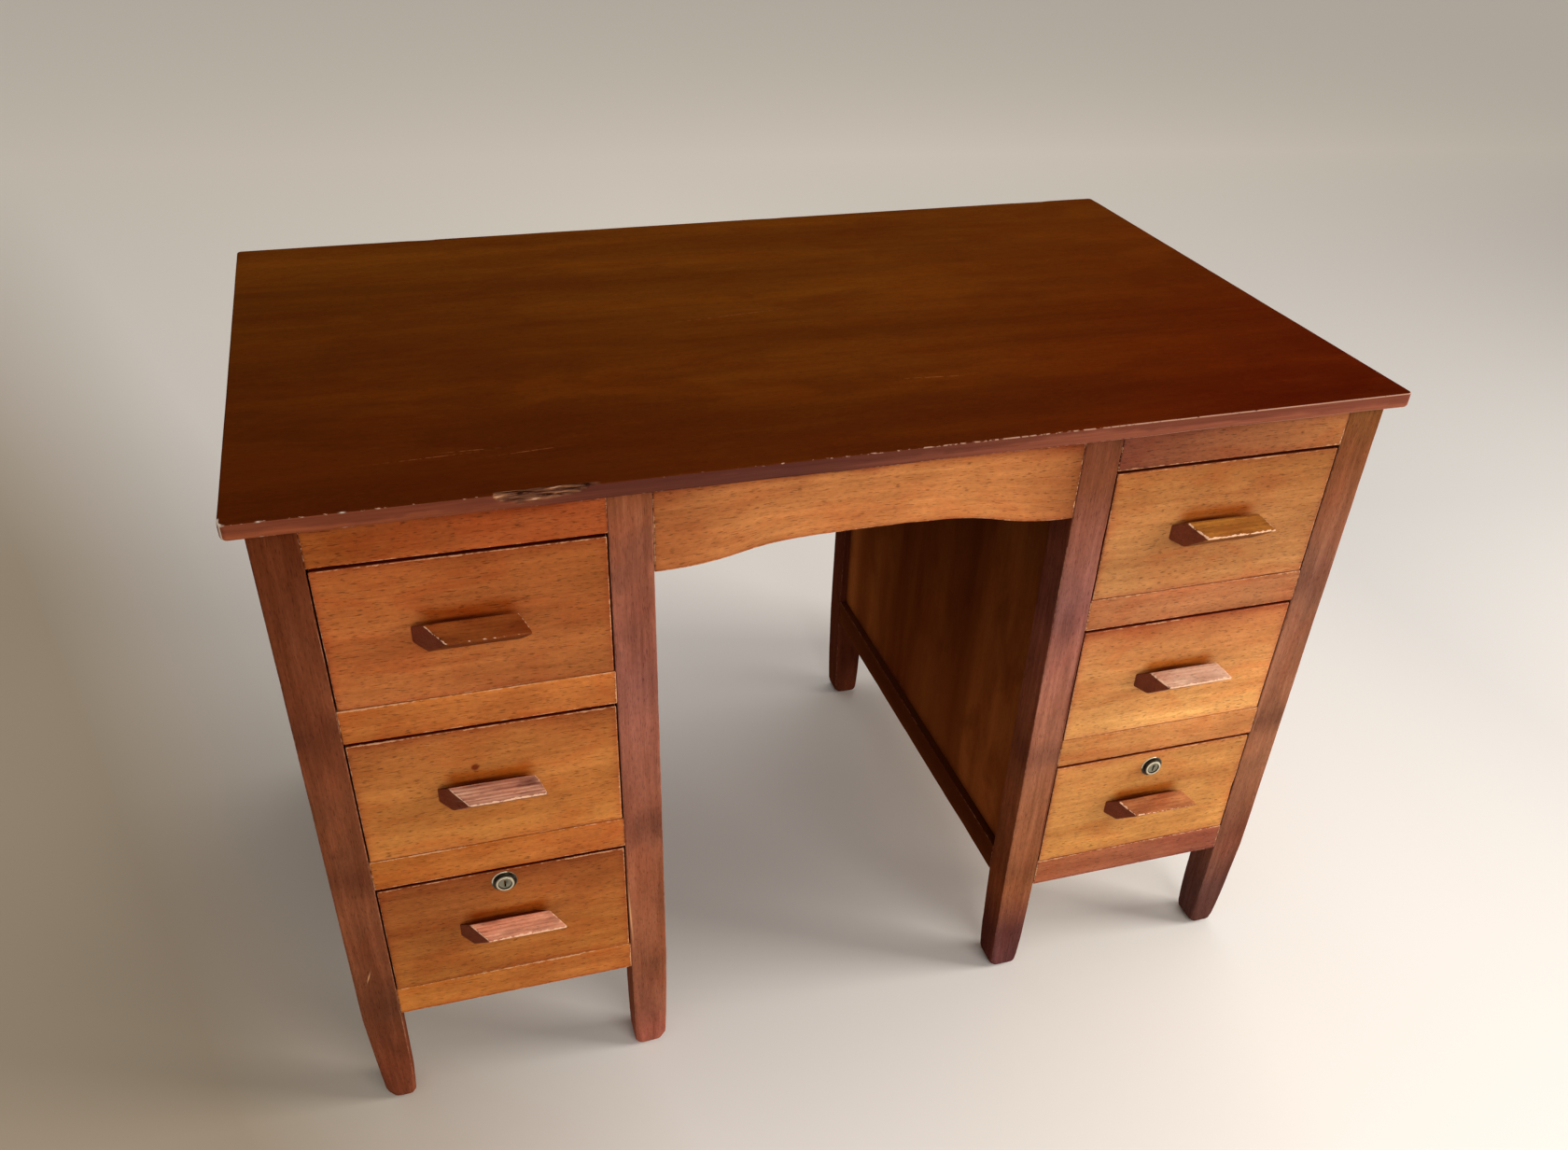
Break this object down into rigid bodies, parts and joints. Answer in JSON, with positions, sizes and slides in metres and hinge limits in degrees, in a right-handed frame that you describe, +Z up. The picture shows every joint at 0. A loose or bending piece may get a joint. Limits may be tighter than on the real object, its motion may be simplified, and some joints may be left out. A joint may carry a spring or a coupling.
{
  "type": "pedestal desk",
  "caption": "Wooden pedestal desk with a thin overhanging top, drawers with bar handles and cylinder locks on each side, and an open knee space under a shaped apron.",
  "frame": {"origin": "on the floor under the middle of the desk's box, handles included", "axes": "+X to the sitter's right, +Y from the sitter to the back, +Z up"},
  "size_m": [1.14, 0.704, 0.77],
  "materials": {
    "top_wood": "dark worn polish, satin gloss",
    "front_wood": "worn varnish, satin",
    "rail_wood": "worn varnish, satin",
    "post_wood": "worn varnish, satin",
    "side_wood": "dark varnish, satin",
    "inside_wood": "bare wood, matt",
    "handle_wood": "worn varnish, satin",
    "lock_metal": "tarnished nickel plate, satin",
    "steel_screws": "dull steel"
  },
  "bodies": {
    "carcass": {"top": "top_wood", "left_outer_front_post": "post_wood", "left_outer_back_post": "post_wood", "left_inner_front_post": "post_wood", "left_inner_back_post": "post_wood", "right_outer_front_post": "post_wood", "right_outer_back_post": "post_wood", "right_inner_front_post": "post_wood", "right_inner_back_post": "post_wood", "left_top_rail": "rail_wood", "left_upper_divider": "rail_wood", "left_lower_divider": "rail_wood", "left_bottom_rail": "rail_wood", "left_frame_rails": "side_wood", "left_outer_panel": "side_wood", "left_inner_panel": "side_wood", "left_back_panel": "side_wood", "left_drawer_runners": "inside_wood", "right_top_rail": "rail_wood", "right_upper_divider": "rail_wood", "right_lower_divider": "rail_wood", "right_bottom_rail": "rail_wood", "right_frame_rails": "side_wood", "right_outer_panel": "side_wood", "right_inner_panel": "side_wood", "right_back_panel": "side_wood", "right_drawer_runners": "inside_wood", "front_apron": "rail_wood", "rear_apron": "side_wood", "top_screws": "steel_screws"},
    "left_drawer_1": {"left_drawer_1_front": "front_wood", "left_drawer_1_box": "inside_wood", "left_drawer_1_bottom": "inside_wood", "left_drawer_1_handle": "handle_wood"},
    "left_drawer_2": {"left_drawer_2_front": "front_wood", "left_drawer_2_box": "inside_wood", "left_drawer_2_bottom": "inside_wood", "left_drawer_2_handle": "handle_wood"},
    "left_drawer_3": {"left_drawer_3_front": "front_wood", "left_drawer_3_box": "inside_wood", "left_drawer_3_bottom": "inside_wood", "left_drawer_3_handle": "handle_wood", "left_lock_case": "lock_metal"},
    "left_lock_plug": {"left_lock_plug": "lock_metal"},
    "left_lock_bolt": {"left_lock_bolt": "lock_metal"},
    "right_drawer_1": {"right_drawer_1_front": "front_wood", "right_drawer_1_box": "inside_wood", "right_drawer_1_bottom": "inside_wood", "right_drawer_1_handle": "handle_wood"},
    "right_drawer_2": {"right_drawer_2_front": "front_wood", "right_drawer_2_box": "inside_wood", "right_drawer_2_bottom": "inside_wood", "right_drawer_2_handle": "handle_wood"},
    "right_drawer_3": {"right_drawer_3_front": "front_wood", "right_drawer_3_box": "inside_wood", "right_drawer_3_bottom": "inside_wood", "right_drawer_3_handle": "handle_wood", "right_lock_case": "lock_metal"},
    "right_lock_plug": {"right_lock_plug": "lock_metal"},
    "right_lock_bolt": {"right_lock_bolt": "lock_metal"}
  },
  "joints": [
    {"name": "left_drawer_1_slide", "type": "slide", "parent": "carcass", "child": "left_drawer_1", "axis": [0, -1, 0], "range_m": [0, 0.42]},
    {"name": "left_drawer_2_slide", "type": "slide", "parent": "carcass", "child": "left_drawer_2", "axis": [0, -1, 0], "range_m": [0, 0.42]},
    {"name": "left_drawer_3_slide", "type": "slide", "parent": "carcass", "child": "left_drawer_3", "axis": [0, -1, 0], "range_m": [0, 0.42]},
    {"name": "left_lock_turn", "type": "hinge", "parent": "left_drawer_3", "child": "left_lock_plug", "pos_m": [-0.383, -0.328, 0.316], "axis": [0, 1, 0], "range_deg": [0, 90]},
    {"name": "left_bolt_lift", "type": "slide", "parent": "left_drawer_3", "child": "left_lock_bolt", "axis": [0, 0, 1], "range_m": [0, 0.00707]},
    {"name": "right_drawer_1_slide", "type": "slide", "parent": "carcass", "child": "right_drawer_1", "axis": [0, -1, 0], "range_m": [0, 0.42]},
    {"name": "right_drawer_2_slide", "type": "slide", "parent": "carcass", "child": "right_drawer_2", "axis": [0, -1, 0], "range_m": [0, 0.42]},
    {"name": "right_drawer_3_slide", "type": "slide", "parent": "carcass", "child": "right_drawer_3", "axis": [0, -1, 0], "range_m": [0, 0.42]},
    {"name": "right_lock_turn", "type": "hinge", "parent": "right_drawer_3", "child": "right_lock_plug", "pos_m": [0.383, -0.328, 0.31], "axis": [0, 1, 0], "range_deg": [0, 90]},
    {"name": "right_bolt_lift", "type": "slide", "parent": "right_drawer_3", "child": "right_lock_bolt", "axis": [0, 0, 1], "range_m": [0, 0.00707]}
  ],
  "couplings": [
    {"joint": "left_lock_turn", "follows": "left_bolt_lift", "rad_per_m": 222.14},
    {"joint": "right_lock_turn", "follows": "right_bolt_lift", "rad_per_m": 222.14}
  ]
}
